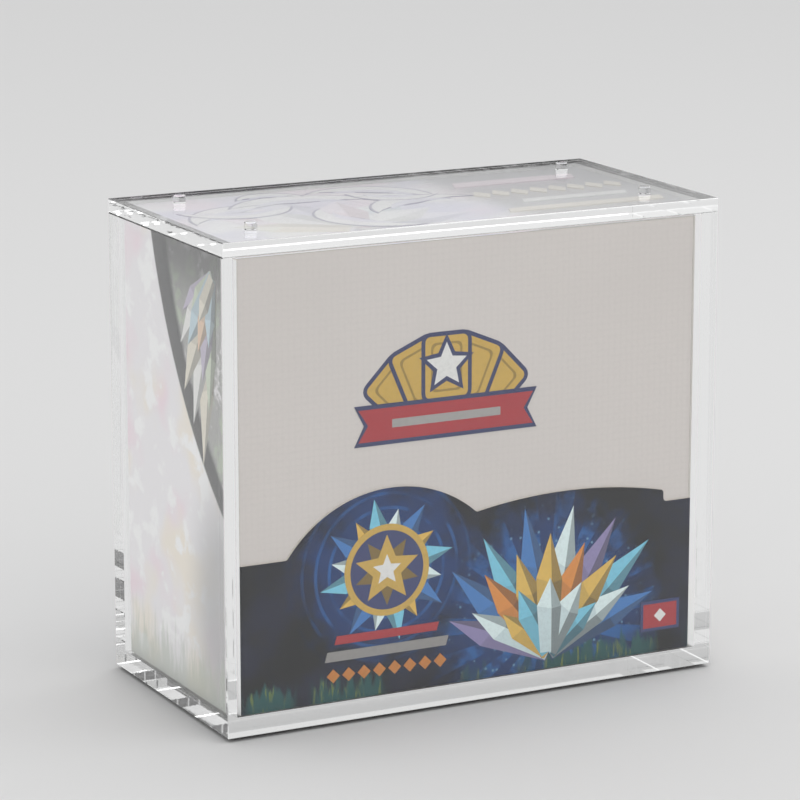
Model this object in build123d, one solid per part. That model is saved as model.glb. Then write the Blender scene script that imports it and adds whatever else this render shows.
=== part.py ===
"""Clear display case for a sealed carton of trading card packs, in millimetres.

The case stands on the XY plane with its front towards -Y. Five acrylic sheets are cemented into an open
box, a loose lid lies on it, and four pegs stand on the lid. Every size follows outwards from one pack of
cards: packs, folded board carton, acrylic case.
"""
import os

from build123d import *

# One pack of cards in its sealed film.
pack_width = 71.0
pack_height = 125.0
pack_thickness = 3.7
pack_edge = 0.4  # the film where it is sealed flat, at the ends and sides
pack_crimp = 7.0  # height of the flat seal at each end
pack_shoulder = 9.0  # height over which the pack swells to its full thickness
pack_side_seam = 2.5  # width over which its sides thin out

# How the packs stand in the carton: two columns, one behind the other.
packs_per_column = 18
pack_gap = 0.04
column_gap = 0.4
pack_lift = 0.3  # under a pack, which stands on its soft lower crimp
pack_headroom = 1.3  # above it

# The folded carton.
board = 0.6  # thickness of the folding board
fold_radius = 0.9  # outside radius of a fold
crease_gap = 0.05
flap_fold_radius = 0.48  # outside radius of the top flap's two folds
lip_shoulder_left = 42.5  # height of the front lip at its left end
lip_shoulder_right = 45.0
lip_arch_rise = 17.0  # from the left shoulder to the top of the round arch
lip_arch_radius = 39.6
lip_arch_offset = -25.2  # the arch's centre, to the right of the carton's
lip_crest_rise = 7.0  # from the right shoulder to the top of the long, flat crest
lip_crest_radius = 150.0
lip_crest_offset = 30.0
lip_crest_end = 9.5  # from the crest's step down to the carton's right side
lip_fillet = 1.2
tuck_overlap = 12.0  # how far the tuck flap reaches down behind the lower shoulder
tuck_corner = 8.0
dust_flap_length = 42.0
dust_flap_taper = 6.0

# Room between the carton and the acrylic.
play_side = 1.3
play_depth = 0.75
play_top = 0.8

# The acrylic sheets.
wall = 4.0
lid_thickness = 4.0
base_thickness = 5.0
joint = 0.05  # cement line, and the film of air under the lid and the carton
edge_bevel = 0.2  # polished break on every open edge of a sheet

# Stacking pegs.
peg_diameter = 3.6
peg_height = 2.2  # how far a peg stands above the lid
peg_seat = 2.0  # how deep its spigot is set into the lid
peg_step = 0.15  # shoulder between the peg and its spigot
peg_bevel = 0.25
peg_inset = 15.4  # from its centre to the case's outer faces

# Derived sizes of the carton.
pack_pitch = pack_thickness + pack_gap
column_pitch = pack_width + column_gap
carton_width = 2 * board + 2 * pack_width + 3 * column_gap
carton_depth = 3 * board + packs_per_column * pack_pitch + pack_gap
carton_height = 3 * board + pack_lift + pack_height + pack_headroom

# Derived sizes of the case.
inner_width = carton_width + 2 * play_side
inner_depth = carton_depth + 2 * play_depth
case_width = inner_width + 2 * wall
case_depth = inner_depth + 2 * wall
half_width = case_width / 2
half_depth = case_depth / 2
full_width = (-half_width, half_width)
full_depth = (-half_depth, half_depth)
carton_bottom = base_thickness + joint
wall_bottom = base_thickness + joint
wall_top = carton_bottom + carton_height + play_top - joint
lid_bottom = wall_top + joint
lid_top = lid_bottom + lid_thickness
peg_x = half_width - peg_inset
peg_y = half_depth - peg_inset

parts = {}


def sheet(x_span, y_span, z_span, outside):
    """A sheet of acrylic between three pairs of planes.

    outside lists its faces that are open to the air, as (axis number, place on that axis). An edge
    between two of them is broken, and one that meets another sheet at a joint stays square.
    """
    spans = (x_span, y_span, z_span)
    size = [high - low for low, high in spans]
    centre = [(low + high) / 2 for low, high in spans]
    block = Pos(*centre) * Box(*size)
    open_edges = []
    for edge in block.edges():
        middle = tuple(edge.center())
        faces_met = [axis for axis, place in outside if abs(middle[axis] - place) < edge_bevel / 2]
        if len(faces_met) == 2:
            open_edges.append(edge)
    return chamfer(open_edges, edge_bevel)


def corner_places(z):
    """The four peg places at height z, by name."""
    places = {}
    for depth_name, y in (("front", -peg_y), ("back", peg_y)):
        for side_name, x in (("left", -peg_x), ("right", peg_x)):
            places[f"{depth_name}_{side_name}"] = Pos(x, y, z)
    return places


def make_base():
    sides = [(0, -half_width), (0, half_width), (1, -half_depth), (1, half_depth)]
    return sheet(full_width, full_depth, (0, base_thickness), [*sides, (2, 0)])


def make_panels():
    """Front and back panels run the full width and cover the ends of the side panels."""
    upright = (wall_bottom, wall_top)
    between = (-inner_depth / 2 + joint, inner_depth / 2 - joint)
    ends = [(0, -half_width), (0, half_width), (2, wall_top)]
    panels = {}
    for name, side in (("front_panel", -1), ("back_panel", 1)):
        face = side * half_depth
        span = sorted((face, face - side * wall))
        panels[name] = sheet(full_width, span, upright, [*ends, (1, face)])
    for name, side in (("left_panel", -1), ("right_panel", 1)):
        face = side * half_width
        span = sorted((face, face - side * wall))
        panels[name] = sheet(span, between, upright, [(0, face), (2, wall_top)])
    return panels


def make_lid():
    sides = [(0, -half_width), (0, half_width), (1, -half_depth), (1, half_depth)]
    faces = [*sides, (2, lid_bottom), (2, lid_top)]
    lid = sheet(full_width, full_depth, (lid_bottom, lid_top), faces)
    seat = Cylinder(
        peg_diameter / 2 - peg_step + joint,
        peg_seat,
        align=(Align.CENTER, Align.CENTER, Align.MAX),
    )
    for place in corner_places(lid_top).values():
        lid -= place * seat
    return lid


def make_peg():
    """A turned pin that stands on the XY plane, with a slightly thinner spigot below it."""
    upright = (Align.CENTER, Align.CENTER, Align.MIN)
    hanging = (Align.CENTER, Align.CENTER, Align.MAX)
    pin = Cylinder(peg_diameter / 2, peg_height - joint, align=upright)
    pin = chamfer(pin.edges().filter_by(GeomType.CIRCLE).sort_by(Axis.Z)[-1], peg_bevel)
    spigot = Cylinder(peg_diameter / 2 - peg_step, peg_seat, align=hanging)
    return Pos(0, 0, joint) * (pin + spigot)


def wall_ring(height):
    """The carton's four walls as one rounded tube of board."""
    outside = RectangleRounded(carton_width, carton_depth, fold_radius)
    inside = Rectangle(carton_width - 2 * board, carton_depth - 2 * board)
    return extrude(outside - inside, height)


def wedge(side, height):
    """The part of the plan that belongs to one wall, bounded by the mitres at its corners."""
    reach = carton_depth / 2
    x = carton_width / 2
    y = carton_depth / 2
    outlines = {
        "front": [(-x, -y), (x, -y), (x - reach, 0), (reach - x, 0)],
        "back": [(-x, y), (reach - x, 0), (x - reach, 0), (x, y)],
        "left": [(-x, -y), (reach - x, 0), (-x, y)],
        "right": [(x, -y), (x, y), (x - reach, 0)],
    }
    return extrude(make_face(Polyline(*outlines[side], close=True)), height)


def round_mound(radius, x, top):
    """A disc whose highest point is at (x, top)."""
    return Pos(x, top - radius) * Circle(radius)


def lip_band(left, right, height):
    return Pos((left + right) / 2, height / 2) * Rectangle(right - left, height)


def lip_outline():
    """The front lip as it is cut from the board: a shoulder, a round arch, a long crest and a shoulder."""
    half = carton_width / 2
    arch_top = lip_shoulder_left + lip_arch_rise
    crest_top = lip_shoulder_right + lip_crest_rise
    crest_stop = half - lip_crest_end
    arch = round_mound(lip_arch_radius, lip_arch_offset, arch_top)
    crest = round_mound(lip_crest_radius, lip_crest_offset, crest_top)
    low_left = lip_band(-half, lip_arch_offset, lip_shoulder_left)
    low_right = lip_band(lip_arch_offset, half, lip_shoulder_right)
    arch &= lip_band(-half, half, arch_top)
    crest &= lip_band(lip_arch_offset, crest_stop, crest_top)
    outline = low_left + low_right + arch + crest
    corners = [
        corner
        for corner in outline.vertices()
        if abs(corner.X) < half - crease_gap and corner.Y > crease_gap
    ]
    crest_drop = lip_crest_radius - (lip_crest_radius**2 - (crest_stop - lip_crest_offset) ** 2) ** 0.5
    step = lip_crest_rise - crest_drop
    return fillet(corners, min(lip_fillet, step / 3))


def make_carton_walls():
    """Back and side walls reach the underside of the top flap. The front wall is cut down to a lip."""
    tall = carton_height - board - crease_gap
    ring = wall_ring(tall)
    walls = {
        "carton_back_wall": ring & wedge("back", tall),
        "carton_left_wall": ring & wedge("left", tall),
        "carton_right_wall": ring & wedge("right", tall),
    }
    lip_blank = extrude(Plane.XZ * lip_outline(), carton_depth)
    walls["carton_front_lip"] = ring & wedge("front", tall) & lip_blank
    return walls


def make_carton_floor():
    width = carton_width - 2 * (board + crease_gap)
    depth = carton_depth - 2 * (board + crease_gap)
    return extrude(Rectangle(width, depth), board)


def make_top_flap():
    """Hinged on the back wall. It lies on the side walls and its front edge turns down as the tuck."""
    front = -carton_depth / 2 + board
    back = carton_depth / 2
    centre_y = (front + back) / 2
    flap = Pos(0, centre_y, carton_height - board / 2) * Box(carton_width, back - front, board)
    folds = flap.edges().filter_by(Axis.X).group_by(Axis.Z)[-1]
    return fillet(folds, min(flap_fold_radius, board - crease_gap))


def make_tuck_flap():
    """The top flap's front, which drops behind the lip and is what shows above it."""
    top = carton_height - board - crease_gap
    bottom = min(lip_shoulder_left, lip_shoulder_right) - tuck_overlap
    width = carton_width - 2 * (board + crease_gap)
    face = Pos(0, (top + bottom) / 2) * Rectangle(width, top - bottom)
    low_corners = face.vertices().group_by(Axis.Y)[0]
    face = fillet(low_corners, tuck_corner)
    front = -carton_depth / 2 + board + crease_gap
    return extrude(Plane.XZ.offset(-front) * face, -(board - crease_gap))


def make_dust_flap(side):
    """Folded in from a side wall under the top flap, with tapered ends so that it clears the walls."""
    root = side * (carton_width / 2 - board - crease_gap)
    tip = root - side * dust_flap_length
    front = -carton_depth / 2 + 2 * board + crease_gap
    back = carton_depth / 2 - board - crease_gap
    outline = Polyline(
        (root, front),
        (tip, front + dust_flap_taper),
        (tip, back - dust_flap_taper),
        (root, back),
        close=True,
    )
    top = carton_height - board - crease_gap
    return Pos(0, 0, top - board + crease_gap) * extrude(make_face(outline), board - crease_gap)


def make_pack():
    """A sealed pouch, standing on its lower crimp and centred on Z: thick round its cards, flat at its seals."""
    edge = pack_edge / 2
    full = pack_thickness / 2
    swell = pack_crimp + pack_shoulder
    half = pack_width / 2
    side = Polyline(
        (-edge, 0),
        (edge, 0),
        (edge, pack_crimp),
        (full, swell),
        (full, pack_height - swell),
        (edge, pack_height - pack_crimp),
        (edge, pack_height),
        (-edge, pack_height),
        (-edge, pack_height - pack_crimp),
        (-full, pack_height - swell),
        (-full, swell),
        (-edge, pack_crimp),
        close=True,
    )
    plan = Polyline(
        (-half, -edge),
        (-half + pack_side_seam, -full),
        (half - pack_side_seam, -full),
        (half, -edge),
        (half, edge),
        (half - pack_side_seam, full),
        (-half + pack_side_seam, full),
        (-half, edge),
        close=True,
    )
    profile = extrude(Plane.YZ * make_face(side), half, both=True)
    return profile & extrude(make_face(plan), pack_height)


def add_packs():
    """Two columns of packs, numbered from the front."""
    pack = make_pack()
    first = -carton_depth / 2 + 2 * board + pack_gap + pack_thickness / 2
    floor = board + pack_lift
    for side_name, side in (("left", -1), ("right", 1)):
        x = side * column_pitch / 2
        for number in range(packs_per_column):
            place = Pos(x, first + number * pack_pitch, carton_bottom + floor)
            parts[f"pack_{side_name}_{number + 1:02d}"] = place * pack


parts["base_plate"] = make_base()
parts.update(make_panels())
parts["lid_plate"] = make_lid()
for name, place in corner_places(lid_top).items():
    parts[f"stacking_peg_{name}"] = place * make_peg()

carton = make_carton_walls()
carton["carton_floor"] = make_carton_floor()
carton["carton_top_flap"] = make_top_flap()
carton["carton_tuck_flap"] = make_tuck_flap()
carton["carton_dust_flap_left"] = make_dust_flap(-1)
carton["carton_dust_flap_right"] = make_dust_flap(1)
for name, piece in carton.items():
    parts[name] = Pos(0, 0, carton_bottom) * piece
add_packs()

os.makedirs("parts", exist_ok=True)
for name, solid in parts.items():
    export_step(solid, f"parts/{name}.step")
print(f"case {case_width:.2f} x {case_depth:.2f} x {lid_top:.2f}, carton bottom {carton_bottom:.2f}")
print(f"carton {carton_width:.2f} x {carton_depth:.2f} x {carton_height:.2f}, {len(parts)} nodes")
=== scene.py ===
import math

import bmesh
import bpy
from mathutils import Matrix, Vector


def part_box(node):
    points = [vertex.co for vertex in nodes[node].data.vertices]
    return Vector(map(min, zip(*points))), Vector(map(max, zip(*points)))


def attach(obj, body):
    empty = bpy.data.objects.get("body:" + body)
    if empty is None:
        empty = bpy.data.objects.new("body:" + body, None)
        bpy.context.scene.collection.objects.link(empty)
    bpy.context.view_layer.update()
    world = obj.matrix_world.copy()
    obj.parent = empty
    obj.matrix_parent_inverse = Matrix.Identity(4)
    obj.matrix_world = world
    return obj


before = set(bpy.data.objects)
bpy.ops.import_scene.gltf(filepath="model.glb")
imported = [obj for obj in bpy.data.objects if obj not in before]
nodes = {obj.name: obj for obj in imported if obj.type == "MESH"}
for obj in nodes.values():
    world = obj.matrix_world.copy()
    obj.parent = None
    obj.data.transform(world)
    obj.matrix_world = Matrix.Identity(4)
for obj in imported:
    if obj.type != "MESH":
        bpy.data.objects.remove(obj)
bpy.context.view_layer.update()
perMetre = 1000.0  # millimetres
print("frame loaded:", len(nodes), "nodes")


def link(tree, source, socket):
    # a socket takes another socket, a colour or a plain number
    if hasattr(source, "links"):
        tree.links.new(source, socket)
    elif socket.type == "RGBA":
        socket.default_value = (*source, 1)
    else:
        socket.default_value = source


def freshMaterial(name):
    mat = bpy.data.materials.new(name)
    mat.use_nodes = True
    tree = mat.node_tree
    tree.nodes.clear()
    out = tree.nodes.new("ShaderNodeOutputMaterial")
    shader = tree.nodes.new("ShaderNodeBsdfPrincipled")
    tree.links.new(shader.outputs[0], out.inputs["Surface"])
    return mat, tree, shader


def dress(names, mat):
    for name in names:
        node = nodes[name]
        node.data.materials.clear()
        node.data.materials.append(mat)


def maths(tree, operation, *values):
    node = tree.nodes.new("ShaderNodeMath")
    node.operation = operation
    for slot, value in enumerate(values):
        link(tree, value, node.inputs[slot])
    return node.outputs[0]


def plus(tree, first, second):
    return maths(tree, "ADD", first, second)


def minus(tree, first, second):
    return maths(tree, "SUBTRACT", first, second)


def times(tree, first, second):
    return maths(tree, "MULTIPLY", first, second)


def unsigned(tree, value):
    return maths(tree, "ABSOLUTE", value)


def isAbove(tree, value, level):
    return maths(tree, "GREATER_THAN", value, level)


def isBelow(tree, value, level):
    return maths(tree, "LESS_THAN", value, level)


def isNear(tree, value, level, reach):
    return isBelow(tree, unsigned(tree, minus(tree, value, level)), reach)


def waveOf(tree, value, turn):
    # turn is in radians for a value of 1
    return maths(tree, "SINE", times(tree, value, turn))


def allOf(tree, *masks):
    total = masks[0]
    for mask in masks[1:]:
        total = times(tree, total, mask)
    return total


def anyOf(tree, *masks):
    total = masks[0]
    for mask in masks[1:]:
        total = maths(tree, "MAXIMUM", total, mask)
    return total


def ramp(tree, value, low, high):
    # 0 below low, 1 above high, smooth between; low above high turns it round
    node = tree.nodes.new("ShaderNodeMapRange")
    node.interpolation_type = "SMOOTHSTEP"
    link(tree, value, node.inputs["Value"])
    flipped = low > high
    node.inputs["From Min"].default_value = min(low, high)
    node.inputs["From Max"].default_value = max(low, high)
    node.inputs["To Min"].default_value = 1.0 if flipped else 0.0
    node.inputs["To Max"].default_value = 0.0 if flipped else 1.0
    return node.outputs["Result"]


def coat(tree, under, over, share):
    # one ink over another
    node = tree.nodes.new("ShaderNodeMix")
    node.data_type = "RGBA"
    link(tree, share, node.inputs[0])
    link(tree, under, node.inputs[6])
    link(tree, over, node.inputs[7])
    return node.outputs[2]


def coordsOf(tree, kind):
    return tree.nodes.new("ShaderNodeTexCoord").outputs[kind]


def splitOf(tree, vector):
    node = tree.nodes.new("ShaderNodeSeparateXYZ")
    tree.links.new(vector, node.inputs[0])
    return node.outputs


def point(tree, *values):
    node = tree.nodes.new("ShaderNodeCombineXYZ")
    for slot, value in enumerate(values):
        link(tree, value, node.inputs[slot])
    return node.outputs[0]


def stretched(tree, u, v, across, up, layer):
    return point(tree, times(tree, u, across), times(tree, v, up), layer)


def noiseOf(tree, place, scale, detail=3.0, roughness=0.5):
    node = tree.nodes.new("ShaderNodeTexNoise")
    link(tree, place, node.inputs["Vector"])
    node.inputs["Scale"].default_value = scale
    node.inputs["Detail"].default_value = detail
    node.inputs["Roughness"].default_value = roughness
    return node.outputs["Fac"]


def patches(tree, place, grain, edges, share=1.0):
    # grain is the noise's scale, detail and roughness; a patch rises to its share between the edges
    return times(tree, ramp(tree, noiseOf(tree, place, *grain), *edges), share)


def dots(tree, place, scale, edges):
    # a dot in the middle of every cell
    node = tree.nodes.new("ShaderNodeTexVoronoi")
    link(tree, place, node.inputs["Vector"])
    node.inputs["Scale"].default_value = scale
    return ramp(tree, node.outputs["Distance"], *edges)


def distance(tree, u, v, centre):
    du = minus(tree, u, centre[0])
    dv = minus(tree, v, centre[1])
    return maths(tree, "SQRT", plus(tree, times(tree, du, du), times(tree, dv, dv)))


def rays(tree, u, v, centre, count, edges):
    # a fan of light and dark rays, 0 to 1 across each
    angle = maths(tree, "ARCTAN2", minus(tree, v, centre[1]), minus(tree, u, centre[0]))
    return ramp(tree, waveOf(tree, angle, float(count)), *edges)


def roughen(tree, shader, height, strength=1.0, metres=1.0):
    # metres is how high the surface rises for a height of 1
    node = tree.nodes.new("ShaderNodeBump")
    node.inputs["Strength"].default_value = strength
    node.inputs["Distance"].default_value = metres
    tree.links.new(height, node.inputs["Height"])
    tree.links.new(node.outputs[0], shader.inputs["Normal"])


def partly(tree, shader, other, share):
    # the other shader shows in place of the first by this share
    out = tree.get_output_node("ALL")
    mix = tree.nodes.new("ShaderNodeMixShader")
    tree.links.new(share, mix.inputs[0])
    tree.links.new(shader.outputs[0], mix.inputs[1])
    tree.links.new(other.outputs[0], mix.inputs[2])
    tree.links.new(mix.outputs[0], out.inputs["Surface"])


def grey(level):
    return (level, level, level)


backdropLook = {
    "roomLight": 0.92,
    "behind": 0.55,  # the low part of the room, as glass shows it, on the sides of the case
    "frontLeft": 0.50,
    "frontRight": 0.15,
    "horizon": 0.85,
    "horizonFade": (0.24, 0.20),
    "mirrored": (0.08, 0.48),  # what polished tops mirror, rising from the floor's edge
    "mirroredRise": (0.158, 0.180),
    "mirroredEdge": (0.2080, 0.2092),  # below this slanting line tops mirror the dark floor
    "mirroredSlant": 0.095,
    "mirroredFloor": 0.02,
    "overhead": 1.0,
    "overheadRise": (0.30, 0.45),
    "turn": 0.1,  # how gently one side passes into the next
}


def buildBackdrop():
    # the room lights the object evenly; clear sheet shows a grey backdrop that is darkest at the front right
    look = backdropLook
    world = bpy.data.worlds.new("studioRoom")
    bpy.context.scene.world = world
    world.use_nodes = True
    tree = world.node_tree
    x, y, z = splitOf(tree, coordsOf(tree, "Generated"))
    toRight = ramp(tree, x, -look["turn"], look["turn"])
    toBack = ramp(tree, y, -look["turn"], look["turn"])
    front = coat(tree, grey(look["frontLeft"]), grey(look["frontRight"]), toRight)
    nearFloor = ramp(tree, z, *look["horizonFade"])
    low = coat(tree, front, coat(tree, grey(look["behind"]), grey(look["horizon"]), nearFloor), toBack)
    dim, bright = look["mirrored"]
    tops = coat(tree, grey(dim), grey(bright), ramp(tree, z, *look["mirroredRise"]))
    slant = plus(tree, z, times(tree, x, look["mirroredSlant"]))
    tops = coat(tree, grey(look["mirroredFloor"]), tops, ramp(tree, slant, *look["mirroredEdge"]))
    path = tree.nodes.new("ShaderNodeLightPath").outputs
    throughGlass = path["Is Transmission Ray"]
    low = coat(tree, low, tops, minus(tree, path["Is Glossy Ray"], throughGlass))
    seen = coat(tree, low, grey(look["overhead"]), ramp(tree, z, *look["overheadRise"]))
    isSeen = anyOf(tree, path["Is Camera Ray"], path["Is Glossy Ray"], throughGlass)
    room = tree.nodes["Background"]
    tree.links.new(coat(tree, grey(look["roomLight"]), seen, isSeen), room.inputs["Color"])
    room.inputs["Strength"].default_value = 1.0


stageLook = {
    "floorShade": (0.68, 0.68, 0.68),
    "floorRoughness": 0.9,
    "floorSheen": 0.1,
    "floorThroughGlass": 0.76,
    "floorDrop": 0.0011,
    "floorRadius": 9.0,
    "floorCorners": 96,
    "keyPlace": (0.50, -0.10, 1.45),
    "keySize": (1.0, 1.0),
    "keyEnergy": 4.6,
}


def floorPaper():
    # pale paper; clear sheet shows it evenly bright, except in the shadow right under the case
    look = stageLook
    mat, tree, shader = freshMaterial("floorPaper")
    link(tree, look["floorShade"], shader.inputs["Base Color"])
    shader.inputs["Roughness"].default_value = look["floorRoughness"]
    shader.inputs["Specular IOR Level"].default_value = look["floorSheen"]
    place = splitOf(tree, coordsOf(tree, "Object"))
    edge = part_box("base_plate")[1]
    outside = anyOf(tree, *(isAbove(tree, unsigned(tree, place[axis]), edge[axis]) for axis in (0, 1)))
    throughGlass = tree.nodes.new("ShaderNodeLightPath").outputs["Is Transmission Ray"]
    glow = tree.nodes.new("ShaderNodeEmission")
    link(tree, grey(look["floorThroughGlass"]), glow.inputs["Color"])
    partly(tree, shader, glow, allOf(tree, throughGlass, outside))
    return mat


def buildStage():
    look = stageLook
    bpy.ops.mesh.primitive_circle_add(
        vertices=look["floorCorners"],
        radius=look["floorRadius"],
        fill_type="NGON",
        location=(0, 0, -look["floorDrop"]),
    )
    floor = bpy.context.object
    floor.name = "studioFloor"
    floor.data.materials.append(floorPaper())

    buildBackdrop()

    data = bpy.data.lights.new("keyBox", "AREA")
    data.shape = "RECTANGLE"
    data.size, data.size_y = look["keySize"]
    data.energy = look["keyEnergy"]
    lamp = bpy.data.objects.new("keyBox", data)
    bpy.context.scene.collection.objects.link(lamp)
    lamp.location = look["keyPlace"]
    lamp.rotation_euler = (-Vector(look["keyPlace"])).to_track_quat("-Z", "Y").to_euler()
    print("stage built")


cameraLook = {
    "azimuth": -27.2198,
    "elevation": 13.0526,
    "distance": 1.0447,
    "target": (0.0, 0.0, 0.0775),
    "slideRight": -0.00380,
    "slideUp": 0.00173,
    "lens": 163.07,
    "sensor": 36.0,
}


def buildCamera():
    look = cameraLook
    az = math.radians(look["azimuth"])
    el = math.radians(look["elevation"])
    back = Vector((math.sin(az) * math.cos(el), -math.cos(az) * math.cos(el), math.sin(el)))
    right = Vector((math.cos(az), math.sin(az), 0))
    up = back.cross(right)
    data = bpy.data.cameras.new("viewCamera")
    data.lens = look["lens"]
    data.sensor_width = look["sensor"]
    camera = bpy.data.objects.new("viewCamera", data)
    bpy.context.scene.collection.objects.link(camera)
    camera.location = (
        Vector(look["target"]) + back * look["distance"] + right * look["slideRight"] + up * look["slideUp"]
    )
    camera.rotation_euler = (-back).to_track_quat("-Z", "Y").to_euler()
    bpy.context.scene.camera = camera
    print("camera set")


acrylicLook = {
    "tint": (0.995, 0.998, 0.998),
    "ior": 1.49,
    "flatFacing": 0.9,
    "edgeFacing": 0.3,
    "jointReach": 0.00012,
    "jointMiddle": 0.000025,  # half a cement line
    "spigotReach": 0.0019,
    "spigotDepth": 0.0022,
    "bevelRoughness": 0.06,
    "pegRoughness": 0.01,
    "rimFade": 0.006,
    "sawScale": (1100.0, 6.0),  # across a cut edge and along it, per metre
    "sawGrain": (1.0, 2.0),
    "sawDepth": 0.0000025,
    "waveGrain": (22.0, 1.0),
    "waveDepth": 0.00003,
    "bounces": 48,
    "diffuseBounces": 4,
}


def cementedJoints(tree, place, facing):
    # 1 on faces that are cemented to another sheet, where no film of air is left to show
    look = acrylicLook
    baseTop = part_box("base_plate")[1].z
    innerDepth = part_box("back_panel")[0].y
    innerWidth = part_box("right_panel")[0].x
    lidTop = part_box("lid_plate")[1].z
    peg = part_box("stacking_peg_back_right")
    pegPlace = ((peg[0].x + peg[1].x) / 2, (peg[0].y + peg[1].y) / 2)
    absX = unsigned(tree, place[0])
    absY = unsigned(tree, place[1])
    flatY = isAbove(tree, unsigned(tree, facing[1]), look["flatFacing"])
    flatZ = isAbove(tree, unsigned(tree, facing[2]), look["flatFacing"])
    outsideX = isAbove(tree, absX, innerWidth)
    outsideY = isAbove(tree, absY, innerDepth)
    atBase = isNear(tree, place[2], baseTop + look["jointMiddle"], look["jointReach"])
    underWalls = allOf(tree, flatZ, atBase, anyOf(tree, outsideX, outsideY))
    atEnds = isNear(tree, absY, innerDepth - look["jointMiddle"], look["jointReach"])
    sideEnds = allOf(tree, flatY, atEnds, outsideX, isAbove(tree, place[2], baseTop))
    inSpigot = isBelow(tree, distance(tree, absX, absY, pegPlace), look["spigotReach"])
    belowTop = isBelow(tree, place[2], lidTop + look["jointReach"])
    inLid = isAbove(tree, place[2], lidTop - look["spigotDepth"])
    return anyOf(tree, underWalls, sideEnds, allOf(tree, inSpigot, belowTop, inLid))


def sheetHeight(tree, place, facing, thin):
    # in metres: cast sheet is faintly wavy, and its cut edges keep the lines of the saw under the polish
    look = acrylicLook
    across, along = look["sawScale"]
    length = plus(tree, *(place[axis] for axis in range(3) if axis != thin))
    rows = stretched(tree, place[thin], length, across, along, 0.0)
    isEdge = isBelow(tree, unsigned(tree, facing[thin]), look["edgeFacing"])
    saw = allOf(tree, noiseOf(tree, rows, *look["sawGrain"]), isEdge, look["sawDepth"])
    waves = noiseOf(tree, point(tree, *place), *look["waveGrain"])
    return plus(tree, saw, times(tree, waves, look["waveDepth"]))


def acrylicMaterial(name, slantRoughness, thin=None, lampsWithin=None):
    # thin is the axis across the sheet, which turned pegs lack; a rim outside lampsWithin keeps the lamps out
    look = acrylicLook
    mat, tree, shader = freshMaterial(name)
    link(tree, look["tint"], shader.inputs["Base Color"])
    shader.inputs["IOR"].default_value = look["ior"]
    shader.inputs["Transmission Weight"].default_value = 1.0
    place = splitOf(tree, coordsOf(tree, "Object"))
    facing = splitOf(tree, coordsOf(tree, "Normal"))
    most = anyOf(tree, *(unsigned(tree, facing[axis]) for axis in range(3)))
    slanted = isBelow(tree, most, look["flatFacing"])  # only bevels and round pegs face aslant
    tree.links.new(times(tree, slanted, slantRoughness), shader.inputs["Roughness"])
    if thin is not None:
        roughen(tree, shader, sheetHeight(tree, place, facing, thin))
    path = tree.nodes.new("ShaderNodeLightPath").outputs
    lamps = anyOf(tree, path["Is Shadow Ray"], path["Is Diffuse Ray"])
    if lampsWithin is not None:
        for axis in (0, 1):
            edge = lampsWithin[axis]
            lamps = allOf(tree, lamps, ramp(tree, unsigned(tree, place[axis]), edge, edge - look["rimFade"]))
    clear = tree.nodes.new("ShaderNodeBsdfTransparent")
    partly(tree, shader, clear, anyOf(tree, cementedJoints(tree, place, facing), lamps))
    return mat


def buildCase():
    look = acrylicLook
    bevel = look["bevelRoughness"]
    pegs = [name for name in nodes if name.startswith("stacking_peg")]
    dress(["left_panel", "right_panel"], acrylicMaterial("castAcrylicSides", bevel, 0))
    dress(["front_panel", "back_panel"], acrylicMaterial("castAcrylicFaces", bevel, 1))
    dress(["lid_plate"], acrylicMaterial("castAcrylicLid", bevel, 2))
    dress(["base_plate"], acrylicMaterial("castAcrylicBase", bevel, 2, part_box("carton_floor")[1]))
    dress(pegs, acrylicMaterial("turnedAcrylic", look["pegRoughness"]))
    cycles = bpy.context.scene.cycles
    cycles.max_bounces = look["bounces"]
    cycles.transmission_bounces = look["bounces"]
    cycles.glossy_bounces = look["bounces"]
    cycles.diffuse_bounces = look["diffuseBounces"]
    cycles.caustics_refractive = False
    print("acrylic case dressed")


boardLook = {
    "core": (0.62, 0.58, 0.52),  # grey-white pulp where the board is cut
    "inside": (0.66, 0.64, 0.60),
    "facing": 0.05,  # a face that looks less outward than this is a cut edge
    "fibres": (2.2, 4.0, 0.6),
    "fibreEdges": (0.5, 0.8),
    "fibreBump": (0.12, 0.00002),
    "varnishRoughness": 0.32,
    "varnishSheen": 0.15,
    "pulpRoughness": 0.85,
}


def boardMaterial(name, axes, printed):
    # axes are those of u, v and the face; printed(tree, u, v, place) gives the outside's ink, in millimetres
    look = boardLook
    mat, tree, shader = freshMaterial(name)
    inMm = tree.nodes.new("ShaderNodeVectorMath")
    inMm.operation = "SCALE"
    tree.links.new(coordsOf(tree, "Object"), inMm.inputs[0])
    inMm.inputs["Scale"].default_value = perMetre
    place = splitOf(tree, inMm.outputs[0])
    uAxis, vAxis, faceAxis = axes
    u = place[uAxis]
    v = minus(tree, place[2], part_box("carton_floor")[0].z * perMetre) if vAxis == 2 else place[vAxis]
    facing = splitOf(tree, coordsOf(tree, "Normal"))[faceAxis]
    outward = facing if faceAxis == 2 else times(tree, place[faceAxis], facing)
    isOutside = isAbove(tree, outward, look["facing"])
    isCut = isBelow(tree, unsigned(tree, facing), look["facing"])
    fibres = noiseOf(tree, inMm.outputs[0], *look["fibres"])
    pulp = anyOf(tree, isCut, ramp(tree, fibres, *look["fibreEdges"]))
    plain = coat(tree, look["inside"], look["core"], pulp)
    ink = printed(tree, u, v, point(tree, u, v, 0.0))
    tree.links.new(coat(tree, plain, ink, isOutside), shader.inputs["Base Color"])
    gloss = times(tree, isOutside, look["pulpRoughness"] - look["varnishRoughness"])
    tree.links.new(minus(tree, look["pulpRoughness"], gloss), shader.inputs["Roughness"])
    shader.inputs["Specular IOR Level"].default_value = look["varnishSheen"]
    roughen(tree, shader, fibres, *look["fibreBump"])
    return mat


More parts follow.
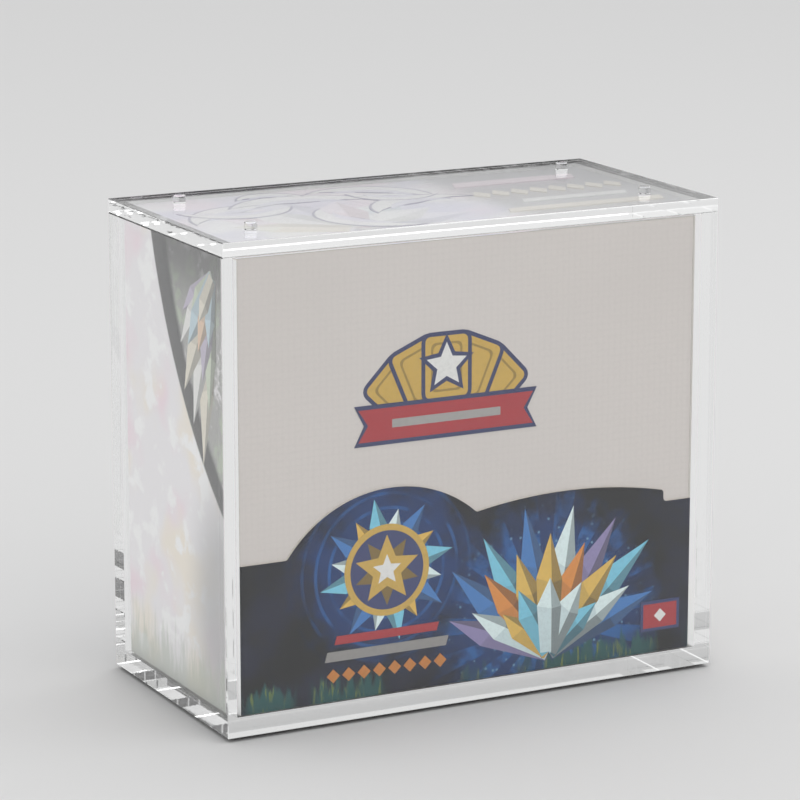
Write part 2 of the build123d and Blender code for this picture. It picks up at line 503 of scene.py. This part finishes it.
tuckInk = {
    "paper": (0.690, 0.648, 0.618),
    "paperDeep": (0.630, 0.592, 0.566),
    "clouds": ((0.02, 1.0), (0.3, 0.7), 0.35),
    "grain": ((0.9, 3.0, 0.7), (0.45, 0.75), 0.5),
    "threadPitch": 1.9,
    "threadEdges": (0.2, 0.9),
    "threads": 0.18,
}


def tuckPrint(tree, u, v, place):
    # warm grey paper under a faint woven tint
    look = tuckInk
    ink = coat(tree, look["paper"], look["paperDeep"], patches(tree, place, *look["clouds"]))
    ink = coat(tree, ink, look["paperDeep"], patches(tree, place, *look["grain"]))
    for along in (u, v):
        thread = ramp(tree, waveOf(tree, along, 2 * math.pi / look["threadPitch"]), *look["threadEdges"])
        ink = coat(tree, ink, look["paperDeep"], times(tree, thread, look["threads"]))
    return ink


tuftLook = {"stretch": (2.4, 0.35, 7.0), "grain": (0.2, 4.0, 0.6)}


def aboveTufts(tree, u, v, tall):
    # the height over tufts of grass that stand on the bottom edge, negative inside them
    tips = noiseOf(tree, stretched(tree, u, v, *tuftLook["stretch"]), *tuftLook["grain"])
    return plus(tree, v, times(tree, tips, -tall))


lipInk = {
    "night": (0.006, 0.007, 0.009),
    "dusk": (0.012, 0.015, 0.036),
    "deepBlue": (0.010, 0.040, 0.150),
    "blue": (0.020, 0.120, 0.360),
    "mist": (0.16, 0.34, 0.50),
    "teal": (0.020, 0.100, 0.100),
    "leaf": (0.16, 0.22, 0.06),
    "haze": ((0.05, 3.0), (0.42, 0.62)),  # grain, then the edges of the patches
    "wobble": (0.13, 4.0),
    "wobbleReach": 24.0,
    "glowPlace": (24.0, 14.0),
    "glowEdges": (40.0, 22.0),
    "rays": (19, (-0.15, 0.15)),  # count, then how soft their sides are
    "streaks": ((0.2, 2.0), (0.35, 0.6)),
    "sparks": (0.42, (0.22, 0.12)),
    "sparkShare": 0.8,
    "archPlace": (-27.0, 36.0),
    "archGlow": (30.0, 17.0),
    "ringPitch": 4.2,
    "ringEdges": (0.55, 0.95),
    "ringReach": (33.0, 14.85),
    "ringPatches": ((0.09, 3.0), (0.36, 0.62)),
    "tufts": 22.0,
    "tuftEdges": (-4.0, -8.0),
    "clumpRow": (4.0, 9.0),
    "clumps": ((0.06, 2.0), (0.44, 0.60)),
    "bladeStretch": (3.2, 0.5, 1.0),
    "blades": ((0.24, 3.0), (0.54, 0.66)),
    "bladeEdges": (-5.0, -8.0),
}


def lipPrint(tree, u, v, place):
    # night with a blue glow behind the crystals, rings of light under the arch and tufts along the bottom
    look = lipInk
    ink = coat(tree, look["night"], look["dusk"], patches(tree, place, *look["haze"]))
    wobble = times(tree, minus(tree, noiseOf(tree, place, *look["wobble"]), 0.5), look["wobbleReach"])
    fromGlow = distance(tree, u, v, look["glowPlace"])
    glow = ramp(tree, plus(tree, fromGlow, wobble), *look["glowEdges"])
    ink = coat(tree, ink, look["deepBlue"], glow)
    fan = rays(tree, u, v, look["glowPlace"], *look["rays"])
    ink = coat(tree, ink, look["blue"], allOf(tree, glow, fan, patches(tree, place, *look["streaks"])))
    sparks = dots(tree, place, *look["sparks"])
    ink = coat(tree, ink, look["mist"], allOf(tree, glow, sparks, look["sparkShare"]))
    fromArch = distance(tree, u, v, look["archPlace"])
    ink = coat(tree, ink, look["deepBlue"], ramp(tree, plus(tree, fromArch, wobble), *look["archGlow"]))
    rings = allOf(
        tree,
        ramp(tree, waveOf(tree, fromArch, 2 * math.pi / look["ringPitch"]), *look["ringEdges"]),
        ramp(tree, fromArch, *look["ringReach"]),
        patches(tree, place, *look["ringPatches"]),
    )
    ink = coat(tree, ink, look["blue"], rings)
    low = aboveTufts(tree, u, v, look["tufts"])
    clumps = patches(tree, point(tree, u, *look["clumpRow"]), *look["clumps"])
    ink = coat(tree, ink, look["teal"], allOf(tree, ramp(tree, low, *look["tuftEdges"]), clumps))
    blades = patches(tree, stretched(tree, u, v, *look["bladeStretch"]), *look["blades"])
    return coat(tree, ink, look["leaf"], allOf(tree, clumps, ramp(tree, low, *look["bladeEdges"]), blades))


sideInk = {
    "pale": (0.86, 0.84, 0.86),
    "rose": (0.88, 0.71, 0.78),
    "cream": (0.89, 0.82, 0.71),
    "white": (0.94, 0.94, 0.94),
    "shade": (0.012, 0.012, 0.014),
    "ash": (0.36, 0.36, 0.35),
    "mist": (0.40, 0.40, 0.41),
    "leaf": (0.42, 0.48, 0.38),
    "layers": {"cream": 5.0, "flecks": 11.0, "leaves": 3.0},  # each noise takes its own layer
    "rosePatches": ((0.035, 2.0), (0.48, 0.66)),
    "creamPatches": ((0.04, 2.0), (0.50, 0.70)),
    "flecks": ((0.09, 4.0, 0.6), (0.52, 0.62)),
    "mistStretch": 1.6,
    "mistPlace": (-54.0, 28.0),
    "mistReach": (50.0, 14.0),
    "mistShare": 0.9,
    "sweepPlace": (-128.0, 169.0),
    "sweepRadius": 148.5,
    "sweepEdge": 0.6,
    "leafGrain": (0.09, 4.0, 0.6),
    "leafEdges": (0.52, 0.60),
    "gapEdges": (0.48, 0.40),
    "gapShare": 0.8,
    "duskRise": (106.0, 126.0),
    "duskShare": 0.75,
    "bandWidth": 9.5,
    "bandTop": 128.0,
    "bandLean": 0.05,  # wider by this for each millimetre of height
    "bandEdges": (1.5, -1.5),
    "tufts": 34.0,
    "tuftEdges": (-1.0, -14.0),
    "tuftShare": 0.6,
    "margin": (-31.4, -32.9),
}


def sidePrint(tree, u, v, place):
    # pale panel with a dark sweep that falls from the top towards the front, and mist in the low front corner
    look = sideInk
    layers = look["layers"]
    ink = coat(tree, look["pale"], look["rose"], patches(tree, place, *look["rosePatches"]))
    crossed = point(tree, v, u, layers["cream"])
    ink = coat(tree, ink, look["cream"], patches(tree, crossed, *look["creamPatches"]))
    ink = coat(tree, ink, look["white"], patches(tree, point(tree, u, v, layers["flecks"]), *look["flecks"]))
    corner = distance(tree, times(tree, u, look["mistStretch"]), v, look["mistPlace"])
    mist = ramp(tree, corner, *look["mistReach"])
    ink = coat(tree, ink, look["mist"], times(tree, mist, look["mistShare"]))
    radius, edge = look["sweepRadius"], look["sweepEdge"]
    away = distance(tree, u, v, look["sweepPlace"])
    inside = ramp(tree, away, radius + edge, radius - edge)
    ink = coat(tree, ink, look["ash"], inside)
    leaves = noiseOf(tree, point(tree, u, v, layers["leaves"]), *look["leafGrain"])
    ink = coat(tree, ink, look["leaf"], allOf(tree, inside, ramp(tree, leaves, *look["leafEdges"])))
    gaps = ramp(tree, leaves, *look["gapEdges"])
    ink = coat(tree, ink, look["pale"], allOf(tree, inside, gaps, look["gapShare"]))
    dusk = ramp(tree, v, *look["duskRise"])
    ink = coat(tree, ink, look["shade"], allOf(tree, inside, dusk, look["duskShare"]))
    lean = times(tree, minus(tree, v, look["bandTop"]), look["bandLean"])
    past = minus(tree, minus(tree, radius, away), plus(tree, look["bandWidth"], lean))
    ink = coat(tree, ink, look["shade"], allOf(tree, inside, ramp(tree, past, *look["bandEdges"])))
    grass = ramp(tree, aboveTufts(tree, u, v, look["tufts"]), *look["tuftEdges"])
    ink = coat(tree, ink, look["leaf"], times(tree, grass, look["tuftShare"]))
    return coat(tree, ink, look["white"], ramp(tree, u, *look["margin"]))


def sidePrintTurned(tree, u, v, place):
    # the right wall carries the same picture, so its sweep falls towards the back
    back = times(tree, u, -1.0)
    return sidePrint(tree, back, v, point(tree, back, v, 0.0))


topInk = {
    "pale": (0.91, 0.91, 0.92),
    "rose": (0.90, 0.77, 0.85),
    "lilac": (0.74, 0.73, 0.87),
    "ash": (0.54, 0.54, 0.56),
    "lilacPatches": ((0.03, 3.0), (0.42, 0.62)),
    "roseLayer": 5.0,
    "rosePatches": ((0.045, 2.0), (0.5, 0.7), 0.8),
    "ashFrom": (14.0, 26.0),
}


def topPrint(tree, u, v, place):
    # soft pale clouds that pass into grey on the right
    look = topInk
    ink = coat(tree, look["pale"], look["lilac"], patches(tree, place, *look["lilacPatches"]))
    crossed = point(tree, v, u, look["roseLayer"])
    ink = coat(tree, ink, look["rose"], patches(tree, crossed, *look["rosePatches"]))
    return coat(tree, ink, look["ash"], ramp(tree, u, *look["ashFrom"]))


def plainPrint(tree, u, v, place):
    # panels that stay out of sight carry no ink
    return boardLook["inside"]


inkTones = {
    "gold": (0.62, 0.40, 0.075),
    "orange": (0.60, 0.22, 0.035),
    "ice": (0.62, 0.76, 0.78),
    "cyan": (0.16, 0.48, 0.62),
    "blue": (0.035, 0.16, 0.42),
    "violet": (0.22, 0.19, 0.36),
    "navy": (0.022, 0.034, 0.125),
    "red": (0.42, 0.020, 0.030),
    "white": (0.80, 0.80, 0.78),
    "stone": (0.30, 0.29, 0.28),
    "paleLilac": (0.78, 0.77, 0.90),
    "paleRose": (0.90, 0.77, 0.84),
    "paleCream": (0.91, 0.85, 0.75),
    "paleWhite": (0.92, 0.92, 0.92),
    "paleSky": (0.79, 0.87, 0.91),
    "dullLilac": (0.27, 0.26, 0.38),
    "dullGreen": (0.46, 0.52, 0.40),
    "dullViolet": (0.40, 0.36, 0.46),
    "dullBlue": (0.40, 0.52, 0.58),
    "dullCream": (0.62, 0.58, 0.48),
    "dullWhite": (0.66, 0.66, 0.64),
    "dullOrange": (0.62, 0.44, 0.30),
}
facetShade = {"lit": 1.25, "plain": 1.0, "shaded": 0.55, "deep": 0.34}
inkLook = {
    "paleShare": 0.4,  # how much of a facet's shade a pale tone takes
    "brightest": 0.92,
    "mottle": ((900.0, 3.0, 0.6), (0.4, 0.7)),
    "mottleShade": 0.92,
    "sink": 0.004,  # millimetres into the board
    "step": 0.010,  # from one film to the next
}
inkMaterials = {}


def raisedInk(tone, shade):
    # a film of ink under the varnish, with the mottle of a press sheet
    name = tone + shade.capitalize()
    if name in inkMaterials:
        return inkMaterials[name]
    look = inkLook
    strength = facetShade[shade]
    if tone.startswith("pale"):
        strength = 1 + (strength - 1) * look["paleShare"]
    colour = tuple(min(look["brightest"], part * strength) for part in inkTones[tone])
    weak = tuple(part * look["mottleShade"] for part in colour)
    mat, tree, shader = freshMaterial(name)
    mottle = patches(tree, coordsOf(tree, "Object"), *look["mottle"])
    tree.links.new(coat(tree, colour, weak, mottle), shader.inputs["Base Color"])
    shader.inputs["Roughness"].default_value = boardLook["varnishRoughness"]
    inkMaterials[name] = mat
    return mat


def strip(bm, first, second):
    # faces all the way round between two loops of as many points
    count = len(first)
    made = []
    for i in range(count):
        j = (i + 1) % count
        made.append(bm.faces.new((first[i], first[j], second[j], second[i])))
    return made


def inkPiece(name, place, layers):
    # layers of (tone, shade, outline, hole or None); every layer lies over the ones before it
    mesh = bpy.data.meshes.new(name)
    piece = bpy.data.objects.new(name, mesh)
    bpy.context.scene.collection.objects.link(piece)
    slots = {}
    bm = bmesh.new()
    for number, layer in enumerate(layers):
        levels = (-inkLook["sink"], inkLook["step"] * (number + 1))
        for tone, shade, outline, hole in layer:
            mat = raisedInk(tone, shade)
            if mat.name not in slots:
                slots[mat.name] = len(slots)
                mesh.materials.append(mat)
            lines = [line for line in (outline, hole) if line]
            loops = [[[bm.verts.new(place(u, v, w)) for u, v in line] for w in levels] for line in lines]
            made = []
            for bottom, top in loops:
                made += strip(bm, bottom, top)
            for level in (0, 1):
                cap = [loop[level] for loop in loops]
                made += strip(bm, *cap) if hole else [bm.faces.new(*cap)]
            for face in made:
                face.material_index = slots[mat.name]
    bmesh.ops.recalc_face_normals(bm, faces=bm.faces)
    bm.to_mesh(mesh)
    bm.free()
    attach(piece, "carton")


def onFront(node):
    # millimetres on the node's front face, from the carton's middle and bottom, to metres
    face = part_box(node)[0].y
    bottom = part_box("carton_floor")[0].z
    return lambda u, v, w: (u / perMetre, face - w / perMetre, bottom + v / perMetre)


def onBack(node):
    # seen from behind, so u runs the other way
    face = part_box(node)[1].y
    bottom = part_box("carton_floor")[0].z
    return lambda u, v, w: (-u / perMetre, face + w / perMetre, bottom + v / perMetre)


def onSide(node, side):
    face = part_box(node)[0 if side < 0 else 1].x
    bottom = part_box("carton_floor")[0].z
    return lambda u, v, w: (face + side * w / perMetre, u / perMetre, bottom + v / perMetre)


def onTop(node):
    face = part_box(node)[1].z
    return lambda u, v, w: (u / perMetre, v / perMetre, face + w / perMetre)


def around(middle, radius, angle):
    return (middle[0] + radius * math.cos(angle), middle[1] + radius * math.sin(angle))


def turned(points, middle, degrees):
    turn = math.radians(degrees)
    cosine, sine = math.cos(turn), math.sin(turn)
    return [(middle[0] + x * cosine - y * sine, middle[1] + x * sine + y * cosine) for x, y in points]


def ringLine(middle, radius, corners=48):
    return [around(middle, radius, 2 * math.pi * i / corners) for i in range(corners)]


def cardLine(middle, width, height, corner, degrees, steps=4):
    # a card with round corners
    line = []
    for cx, cy, start in ((1, 1, 0), (-1, 1, 90), (-1, -1, 180), (1, -1, 270)):
        centre = (cx * (width / 2 - corner), cy * (height / 2 - corner))
        for step in range(steps + 1):
            line.append(around(centre, corner, math.radians(start + 90 * step / steps)))
    return turned(line, middle, degrees)


def ribbonLine(middle, width, height, notch):
    x, y = width / 2, height / 2
    corners = ((-x, -y), (x, -y), (x - notch, 0), (x, y), (-x, y), (-x + notch, 0))
    return [(middle[0] + dx, middle[1] + dy) for dx, dy in corners]


def barLine(middle, width, height, lean=0.0):
    x, y = width / 2, height / 2
    return [(middle[0] + dx + lean * dy, middle[1] + dy) for dx, dy in ((-x, -y), (x, -y), (x, y), (-x, y))]


def diamondLine(middle, half, tall):
    x, y = middle
    return [(x - half, y), (x, y - tall), (x + half, y), (x, y + tall)]


def sweepLine(middle, radius, thick, start, sweep, steps=14):
    # a crescent, full in the middle and pointed at both ends
    outer, inner = [], []
    for i in range(steps + 1):
        angle = math.radians(start + sweep * i / steps)
        outer.append(around(middle, radius, angle))
        inner.append(around(middle, radius - thick * math.sin(math.pi * i / steps), angle))
    return outer + inner[-2:0:-1]


def flat(tone, shade, outline, hole=None):
    return [(tone, shade, outline, hole)]


def diamondRow(middle, count, pitch, half, tone, tall=None):
    row = []
    for i in range(count):
        place = (middle[0] + (i - (count - 1) / 2) * pitch, middle[1])
        row += flat(tone, "plain", diamondLine(place, half, tall or half))
    return row


starLook = {
    "points": 5,
    "upright": 90.0,
    "between": 126.0,  # turned by half a point
    "core": 0.45,
}


def starLine(middle, outer, inner, degrees=starLook["upright"]):
    line = []
    for i in range(2 * starLook["points"]):
        angle = math.radians(degrees + 180.0 * i / starLook["points"])
        line.append(around(middle, inner if i % 2 else outer, angle))
    return line


def goldStar(middle, reach, waist):
    # one layer each: a deep star that shows between the points, a gold one over it and a white core
    core = starLook["core"]
    return [
        flat("gold", "deep", starLine(middle, reach, waist, starLook["between"])),
        flat("gold", "plain", starLine(middle, reach, waist)),
        flat("white", "plain", starLine(middle, reach * core, waist * core)),
    ]


crystalFacets = {  # outlines across and along the crystal, in parts of its width and length
    "plain": ((-0.35, 0), (0.10, 0), (0.10, 0.58), (-0.50, 0.64)),
    "deep": ((0.10, 0), (0.35, 0), (0.50, 0.60), (0.10, 0.58)),
    "lit": ((-0.50, 0.64), (0.10, 0.58), (0.04, 1)),
    "shaded": ((0.10, 0.58), (0.50, 0.60), (0.04, 1)),
}


def crystal(root, degrees, length, width, tone):
    # a pointed crystal that grows from its root
    layer = []
    for shade, facet in crystalFacets.items():
        line = [(across * width, along * length) for across, along in facet]
        layer += flat(tone, shade, turned(line, root, degrees - 90.0))
    return layer


def grown(root, spikes, scale=1.0):
    # one layer for each crystal, the first at the back
    layers = []
    for degrees, length, width, tone in spikes:
        layers.append(crystal(root, degrees, length * scale, width * scale, tone))
    return layers


emblemLook = {
    "middle": (-8.0, 92.0),
    "fanReach": 20.0,
    "fanAngles": (46, -46, 23, -23, 0),
    "card": (13.4, 17.6, 1.6),  # width, height and the radius of its corners
    "rim": 1.2,
    "innerRim": (3.6, 1.3),
    "starRise": 0.4,
    "stars": ((9.0, 4.5, "navy"), (6.6, 3.1, "white")),
    "ribbon": (55.0, 9.2, 3.0),
    "ribbonDrop": 5.6,
    "bar": (34.1, 2.4),
}


def tuckEmblem():
    # a hand of blank cards with a star, over a blank ribbon
    look = emblemLook
    u0, v0 = look["middle"]
    width, height, corner = look["card"]
    rim = look["rim"]
    inset, line = look["innerRim"]
    layers = []
    for angle in look["fanAngles"]:
        turn = math.radians(angle)
        middle = (u0 - look["fanReach"] * math.sin(turn), v0 + look["fanReach"] * (math.cos(turn) - 1))
        outer = cardLine(middle, width - inset, height - inset, corner, angle)
        inner = cardLine(middle, width - inset - line, height - inset - line, corner, angle)
        layers += [
            flat("navy", "plain", cardLine(middle, width + 2 * rim, height + 2 * rim, corner + rim, angle)),
            flat("gold", "plain", cardLine(middle, width, height, corner, angle)),
            flat("gold", "shaded", outer, inner),
        ]
    for reach, waist, tone in look["stars"]:
        layers.append(flat(tone, "plain", starLine((u0, v0 + look["starRise"]), reach, waist)))
    low = (u0, v0 - height / 2 - look["ribbonDrop"])
    wide, tall, notch = look["ribbon"]
    layers += [
        flat("navy", "plain", ribbonLine(low, wide + 2 * rim, tall + 2 * rim, notch)),
        flat("red", "plain", ribbonLine(low, wide, tall, notch)),
        flat("stone", "lit", barLine(low, *look["bar"])),
    ]
    inkPiece("tuckEmblem", onFront("carton_tuck_flap"), layers)


titleLook = {
    "middle": (-27.0, 36.0),
    "ring": (13.2, 11.4),
    "star": (10.2, 4.6),
    "burst": (16, 11.25, (21.0, 17.5), 5.6),  # count, turn in degrees, long and short, width
    "burstTones": ("cyan", "gold", "blue", "ice"),
    "row": ((-27.0, 7.4), 8, 4.8, 2.0, "orange"),
    "bars": ((17.6, 32.0, 2.4, "red"), (13.0, 38.0, 2.8, "stone")),
    "lean": 0.3,
    "platePlace": (62.0, 11.0),
    "plates": ((13.0, 9.0, "navy", "lit"), (11.2, 7.2, "red", "plain")),
    "mark": 2.0,
}


def lipTitle():
    # a gold star in a ring on a burst of crystals under the arch, over blank bars and a row of diamonds
    look = titleLook
    middle = look["middle"]
    outer, inner = (ringLine(middle, radius) for radius in look["ring"])
    count, turn, lengths, thick = look["burst"]
    tones = look["burstTones"]
    spikes = [(360.0 * i / count + turn, lengths[i % 2], thick, tones[i % len(tones)]) for i in range(count)]
    layers = grown(middle, spikes[1::2]) + grown(middle, spikes[::2])
    layers += [flat("navy", "lit", inner), flat("gold", "plain", outer, inner)]
    layers += goldStar(middle, *look["star"])
    layers.append(diamondRow(*look["row"]))
    for height, wide, tall, tone in look["bars"]:
        layers.append(flat(tone, "plain", barLine((middle[0], height), wide, tall, look["lean"])))
    for wide, tall, tone, shade in look["plates"]:
        layers.append(flat(tone, shade, barLine(look["platePlace"], wide, tall)))
    layers.append(flat("white", "plain", diamondLine(look["platePlace"], look["mark"], look["mark"])))
    inkPiece("lipTitle", onFront("carton_front_lip"), layers)


clusterLook = {
    "root": (25.0, 5.0),
    "spikes": (  # direction in degrees, length, width and tone
        (22, 37, 8.0, "blue"),
        (158, 35, 8.0, "violet"),
        (42, 44, 8.5, "cyan"),
        (139, 42, 8.5, "blue"),
        (60, 43, 8.0, "violet"),
        (121, 42, 8.0, "cyan"),
        (80, 43, 8.5, "ice"),
        (101, 44, 8.0, "blue"),
        (32, 31, 7.5, "ice"),
        (150, 29, 7.5, "ice"),
        (50, 34, 8.0, "gold"),
        (130, 33, 8.0, "orange"),
        (70, 33, 8.0, "orange"),
        (110, 32, 8.0, "gold"),
        (90, 35, 8.5, "gold"),
        (40, 20, 7.0, "cyan"),
        (140, 20, 7.0, "gold"),
        (62, 22, 7.5, "ice"),
        (118, 22, 7.5, "cyan"),
        (90, 22, 8.0, "ice"),
    ),
}


def lipCluster():
    inkPiece("lipCrystals", onFront("carton_front_lip"), grown(clusterLook["root"], clusterLook["spikes"]))


topLook = {
    "root": (-34.0, -28.0),
    "spikes": (
        (12, 44, 15.0, "paleLilac"),
        (48, 46, 16.0, "paleSky"),
        (92, 50, 15.0, "paleLilac"),
        (132, 40, 15.0, "paleRose"),
        (30, 40, 15.0, "paleWhite"),
        (70, 42, 16.0, "paleRose"),
        (112, 40, 15.0, "paleWhite"),
        (150, 32, 13.0, "paleCream"),
    ),
    "sweeps": (  # middle, radius, thickness, start and sweep in degrees
        ((-47.0, -4.0), 22.0, 10.0, 60, 120),
        ((-50.0, 16.0), 17.0, 8.0, 190, 150),
        ((-30.0, 2.0), 24.0, 11.0, 20, 130),
        ((-16.0, -12.0), 19.0, 9.0, 130, 150),
        ((-8.0, 12.0), 19.0, 9.0, -20, 150),
        ((4.0, -10.0), 20.0, 10.0, 40, 140),
        ((2.0, 18.0), 13.0, 7.0, 170, 150),
        ((-34.0, 22.0), 10.0, 6.0, 10, 150),
    ),
    "rim": 0.8,
    "rimTurn": 3,
    "shadeIn": 0.55,  # parts of the thickness
    "shadeThick": 0.45,
    "shadeTurn": 12,
    "row": ((45.0, 2.0), 8, 6.2, 2.8, "paleCream", 5.0),
    "bars": (
        ((43.0, 19.0), 40.0, 6.5, "paleRose"),
        ((46.0, -12.0), 34.0, 4.5, "paleWhite"),
        ((43.0, -24.0), 50.0, 5.0, "paleCream"),
    ),
    "lean": 0.4,
}


def topArt():
    # pale crystals, white sweeps and rows of blank signs that show through the lid
    look = topLook
    rim, past, fold = look["rim"], look["rimTurn"], look["shadeTurn"]
    layers = grown(look["root"], look["spikes"])
    for middle, radius, thick, start, sweep in look["sweeps"]:
        dark = sweepLine(middle, radius + rim, thick + 2 * rim, start - past, sweep + 2 * past)
        shadeRadius = radius - look["shadeIn"] * thick
        shade = sweepLine(middle, shadeRadius, look["shadeThick"] * thick, start + fold, sweep - 2 * fold)
        layers += [
            flat("dullLilac", "plain", dark),
            flat("paleWhite", "plain", sweepLine(middle, radius, thick, start, sweep)),
            flat("paleLilac", "plain", shade),
        ]
    layers.append(diamondRow(*look["row"]))
    for middle, wide, tall, tone in look["bars"]:
        layers.append(flat(tone, "plain", barLine(middle, wide, tall, look["lean"])))
    inkPiece("topSigns", onTop("carton_top_flap"), layers)


sideLook = {
    "root": (-26.5, 121.0),
    "scale": 0.9,
    "spikes": (
        (330, 26, 8.0, "dullViolet"),
        (278, 60, 10.0, "dullCream"),
        (316, 34, 9.0, "dullWhite"),
        (288, 50, 10.0, "dullWhite"),
        (300, 44, 10.0, "dullCream"),
        (323, 20, 8.0, "dullGreen"),
        (275, 42, 8.0, "dullGreen"),
        (309, 30, 9.0, "dullBlue"),
        (284, 34, 9.0, "dullViolet"),
        (295, 27, 8.0, "dullOrange"),
        (279, 22, 7.0, "dullBlue"),
        (305, 18, 7.0, "dullCream"),
    ),
}


def sideArt():
    # hanging crystals on both sides, mirrored on the right
    look = sideLook
    layers = grown(look["root"], look["spikes"], look["scale"])
    inkPiece("leftCrystals", onSide("carton_left_wall", -1), layers)
    right = onSide("carton_right_wall", 1)
    inkPiece("rightCrystals", lambda u, v, w: right(-u, v, w), layers)


backLook = {
    "root": (-30.0, 10.0),
    "scale": 1.3,
    "star": ((32.0, 82.0), 15.0, 6.6),
    "row": ((32.0, 32.0), 8, 5.2, 2.0, "orange"),
    "bars": (
        ((32.0, 58.0), 42.0, 3.2, "red"),
        ((32.0, 50.0), 48.0, 3.2, "stone"),
        ((32.0, 42.0), 36.0, 3.2, "stone"),
    ),
    "lean": 0.3,
}


def backArt():
    # the back repeats the crystals and the star, with its signs left blank
    look = backLook
    layers = grown(look["root"], clusterLook["spikes"], look["scale"]) + goldStar(*look["star"])
    layers[-1] += diamondRow(*look["row"])
    for middle, wide, tall, tone in look["bars"]:
        layers.append(flat(tone, "plain", barLine(middle, wide, tall, look["lean"])))
    inkPiece("backSigns", onBack("carton_back_wall"), layers)


def buildCarton():
    hidden = ["carton_floor", "carton_dust_flap_left", "carton_dust_flap_right"]
    boards = (
        ("tuckBoard", ["carton_tuck_flap"], (0, 2, 1), tuckPrint),
        ("lipBoard", ["carton_front_lip"], (0, 2, 1), lipPrint),
        ("backBoard", ["carton_back_wall"], (0, 2, 1), lipPrint),
        ("leftBoard", ["carton_left_wall"], (1, 2, 0), sidePrint),
        ("rightBoard", ["carton_right_wall"], (1, 2, 0), sidePrintTurned),
        ("topBoard", ["carton_top_flap"], (0, 1, 2), topPrint),
        ("plainBoard", hidden, (0, 1, 2), plainPrint),
    )
    for name, panels, axes, printed in boards:
        dress(panels, boardMaterial(name, axes, printed))
    tuckEmblem()
    lipTitle()
    lipCluster()
    topArt()
    sideArt()
    backArt()
    print("carton printed")


packLook = {
    "films": (
        ("blueFilm", (0.05, 0.16, 0.50)),
        ("redFilm", (0.45, 0.05, 0.06)),
        ("goldFilm", (0.60, 0.40, 0.10)),
    ),
    # a pale sheen colour painted into the film's colour as a painted highlight
    "paintedSheen": (0.80, 0.82, 0.86),
    "slant": 0.35,
    # the painted sheen lies in these slanted streaks
    "streaks": ((60.0, 2.0), (0.50, 0.64), 0.6),
    "band": (0.85, 0.85, 0.83),
    "bandPlace": (0.30, 0.36),  # parts of the height
    "crimp": 0.007,  # metres sealed at each end
    # the share of painted sheen over the sealed ends
    "crimpPaintedSheen": 0.7,
    "crimpPitch": 0.0011,
    "wrinkles": (55.0, 4.0, 0.6),
    "wrinkleBump": (0.5, 0.0004),
    "metal": 0.6,
    "roughness": 0.3,
}


def filmMaterial(name, colour):
    # shiny wrap with a pale band, wrinkles and ribbed seals at both ends; pale streaks of sheen colour and a
    # paler coat over the sealed ends are painted highlights
    look = packLook
    low, high = (corner.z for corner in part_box("pack_left_01"))
    mat, tree, shader = freshMaterial(name)
    place = coordsOf(tree, "Object")
    x, y, z = splitOf(tree, place)
    slant = plus(tree, z, times(tree, x, look["slant"]))
    # painted highlight: pale sheen streaks along a slant
    streaks = patches(tree, point(tree, slant, y, 0.0), *look["streaks"])
    ink = coat(tree, colour, look["paintedSheen"], streaks)
    start, stop = (low + share * (high - low) for share in look["bandPlace"])
    ink = coat(tree, ink, look["band"], allOf(tree, isAbove(tree, slant, start), isBelow(tree, slant, stop)))
    toEnd = minus(tree, (high - low) / 2, unsigned(tree, minus(tree, z, (low + high) / 2)))
    sealed = isBelow(tree, toEnd, look["crimp"])
    # painted sheen over the sealed ends
    ink = coat(tree, ink, look["paintedSheen"], times(tree, sealed, look["crimpPaintedSheen"]))
    tree.links.new(ink, shader.inputs["Base Color"])
    shader.inputs["Metallic"].default_value = look["metal"]
    shader.inputs["Roughness"].default_value = look["roughness"]
    ribs = allOf(tree, sealed, waveOf(tree, z, 2 * math.pi / look["crimpPitch"]))
    roughen(tree, shader, plus(tree, noiseOf(tree, place, *look["wrinkles"]), ribs), *look["wrinkleBump"])
    return mat


def buildPacks():
    films = [filmMaterial(name, colour) for name, colour in packLook["films"]]
    packs = sorted(name for name in nodes if name.startswith("pack_"))
    for i, name in enumerate(packs):
        dress([name], films[i % len(films)])
    print("packs wrapped:", len(packs))


buildStage()
buildCamera()
buildCase()
buildCarton()
buildPacks()

bpy.context.scene.view_settings.view_transform = "Standard"
